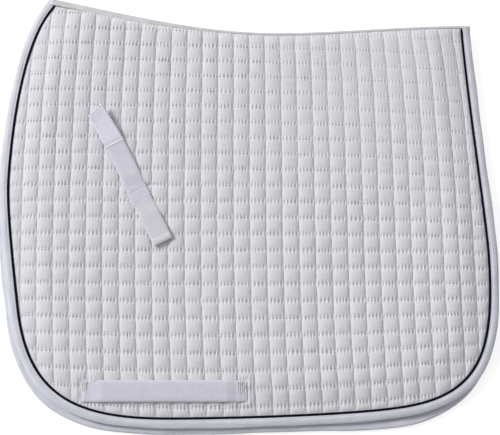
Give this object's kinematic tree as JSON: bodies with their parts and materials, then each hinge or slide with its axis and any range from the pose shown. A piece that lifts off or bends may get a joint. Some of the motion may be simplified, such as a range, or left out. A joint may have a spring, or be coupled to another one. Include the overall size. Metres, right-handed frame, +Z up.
{
  "type": "saddle pad",
  "caption": "Quilted dressage saddle pad with a contoured spine, dark piping, bound edges, girth loops and hook-and-loop billet straps, folded flat along its spine.",
  "frame": {"origin": "middle of the underside of the folded pad", "axes": "+X towards the rear end of the spine, +Y from the bottom edge to the spine, +Z up through the folded flaps"},
  "size_m": [0.692, 0.6252, 0.0279],
  "materials": {
    "quilted_cotton": "matt quilted cotton",
    "quilted_lining": "matt quilted cotton",
    "wadding": "matt polyester fill",
    "binding_tape": "matt woven tape",
    "piping_cord": "soft woven cord",
    "webbing": "ribbed woven webbing",
    "loop_tape": "brushed loop tape",
    "hook_tape": "nylon hook tape",
    "thread": "sewing thread"
  },
  "bodies": {
    "off_flap": {"off_cover": "quilted_cotton", "off_wadding": "wadding", "off_lining": "quilted_lining", "off_binding": "binding_tape", "off_binding_stitching": "thread", "off_piping": "piping_cord", "off_girth_strap": "webbing", "off_girth_stitching": "thread", "off_billet_base": "loop_tape", "off_billet_stitching": "thread", "spine_tape": "binding_tape", "spine_inner_tape": "binding_tape"},
    "near_flap": {"near_cover": "quilted_cotton", "near_wadding": "wadding", "near_lining": "quilted_lining", "near_binding": "binding_tape", "near_binding_stitching": "thread", "near_piping": "piping_cord", "near_girth_strap": "webbing", "near_girth_stitching": "thread", "near_billet_base": "loop_tape", "near_billet_stitching": "thread"},
    "near_billet_upper": {"near_billet_upper_arm": "loop_tape", "near_billet_hook_tape": "hook_tape"},
    "near_billet_lower": {"near_billet_lower_arm": "loop_tape"},
    "off_billet_upper": {"off_billet_upper_arm": "loop_tape", "off_billet_hook_tape": "hook_tape"},
    "off_billet_lower": {"off_billet_lower_arm": "loop_tape"}
  },
  "joints": [
    {"name": "spine_fold", "type": "hinge", "parent": "off_flap", "child": "near_flap", "pos_m": [0.01775, 0.2922, 0.01015], "axis": [-0.9975, 0.0705, 0], "range_deg": [0, 170], "deforming": ["spine_tape", "spine_inner_tape"]},
    {"name": "near_billet_upper_lift", "type": "hinge", "parent": "near_flap", "child": "near_billet_upper", "pos_m": [-0.15427, 0.02286, 0.0222], "axis": [0.8846, 0.4664, 0], "range_deg": [0, 85]},
    {"name": "near_billet_lower_lift", "type": "hinge", "parent": "near_flap", "child": "near_billet_lower", "pos_m": [-0.14373, 0.00287, 0.0222], "axis": [-0.8846, -0.4664, 0], "range_deg": [0, 85]},
    {"name": "off_billet_upper_lift", "type": "hinge", "parent": "off_flap", "child": "off_billet_upper", "pos_m": [-0.15427, 0.01536, 0.0013], "axis": [-0.8846, -0.4664, 0], "range_deg": [0, 85]},
    {"name": "off_billet_lower_lift", "type": "hinge", "parent": "off_flap", "child": "off_billet_lower", "pos_m": [-0.14373, -0.00463, 0.0013], "axis": [0.8846, 0.4664, 0], "range_deg": [0, 85]}
  ]
}
